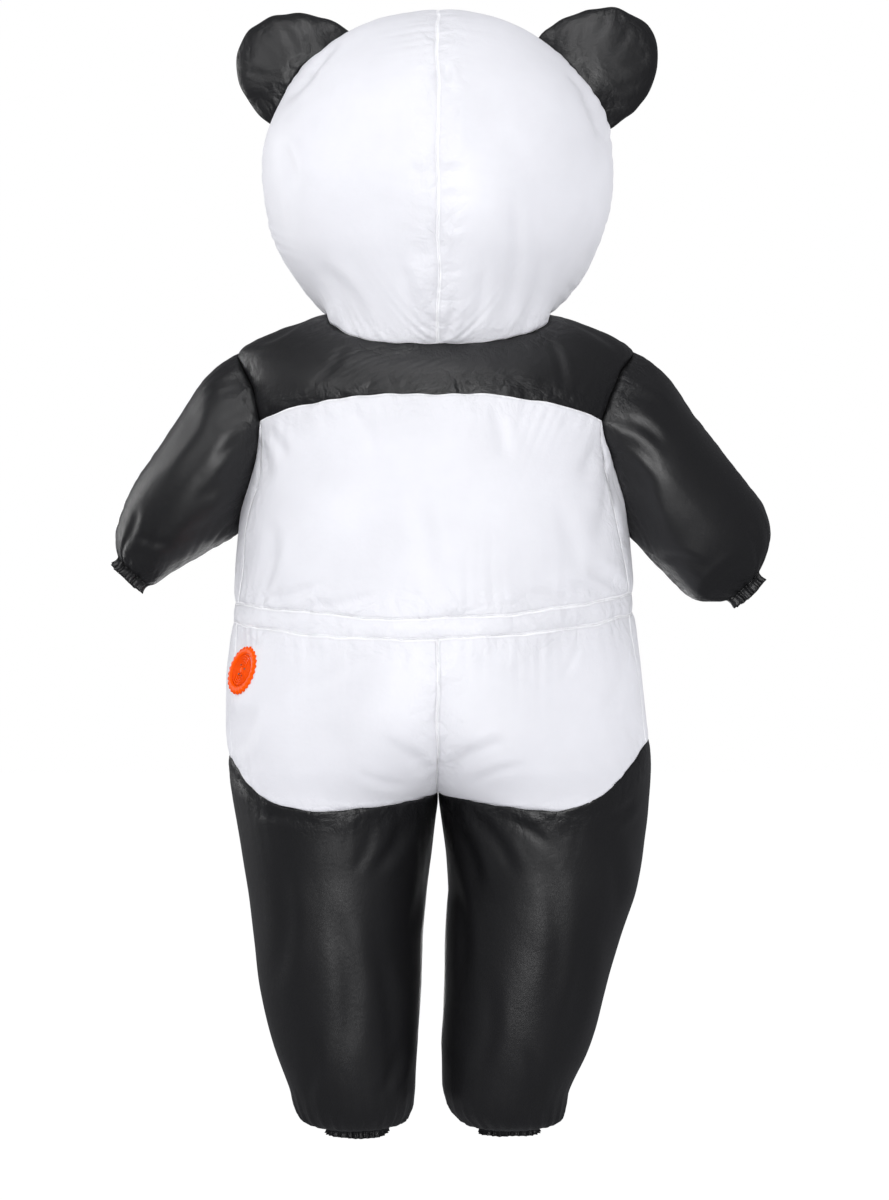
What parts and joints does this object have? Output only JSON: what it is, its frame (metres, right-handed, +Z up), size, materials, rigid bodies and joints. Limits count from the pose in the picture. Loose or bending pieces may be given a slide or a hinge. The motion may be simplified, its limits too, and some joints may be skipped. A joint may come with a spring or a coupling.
{
  "type": "inflatable panda costume",
  "caption": "Full-body blow-up panda suit with a round eared head, puffed sleeves and legs, elastic cuffs, a waist band, a front zip and a small hip fan.",
  "frame": {"origin": "middle of the yoke at the wearer's shoulders, 1580 mm above the floor the wearer stands on", "axes": "+Z up, -Y out of the costume's front, +Y out of its back, +X to the wearer's left"},
  "size_m": [1.2472, 0.6391, 2.1374],
  "materials": {
    "white_taffeta": "satin",
    "black_taffeta": "satin",
    "black_mesh": "matte",
    "orange_plastic": "gloss",
    "zip_metal": "satin"
  },
  "bodies": {
    "suit": {"back_panel": "white_taffeta", "front_left": "white_taffeta", "front_right": "white_taffeta", "waist_band": "white_taffeta", "seat_left": "white_taffeta", "seat_right": "white_taffeta", "hip_front_left": "white_taffeta", "hip_front_right": "white_taffeta", "head_back_left": "white_taffeta", "head_front_left": "white_taffeta", "head_back_right": "white_taffeta", "head_front_right": "white_taffeta", "eye_left": "white_taffeta", "eye_right": "white_taffeta", "yoke_back": "black_taffeta", "yoke_front_left": "black_taffeta", "yoke_front_right": "black_taffeta", "leg_left": "black_taffeta", "leg_right": "black_taffeta", "ankle_cuff_left": "black_taffeta", "ankle_cuff_right": "black_taffeta", "sleeve_back_left": "black_taffeta", "sleeve_front_left": "black_taffeta", "sleeve_back_right": "black_taffeta", "sleeve_front_right": "black_taffeta", "wrist_cuff_left": "black_taffeta", "wrist_cuff_right": "black_taffeta", "ear_back_left": "black_taffeta", "ear_front_left": "black_taffeta", "ear_back_right": "black_taffeta", "ear_front_right": "black_taffeta", "eye_patch_left": "black_taffeta", "eye_patch_right": "black_taffeta", "nose": "black_taffeta", "zip_tape": "black_taffeta", "vision_window": "black_mesh", "fan_ring": "orange_plastic", "fan_grille": "orange_plastic", "zip_slider": "zip_metal"},
    "pull_tab": {"zip_pull_tab": "zip_metal"}
  },
  "joints": [
    {"name": "pull_tab_hinge", "type": "hinge", "parent": "suit", "child": "pull_tab", "pos_m": [0, -0.18758, 0.02134], "axis": [-1, 0, 0], "range_deg": [0, 110]}
  ]
}
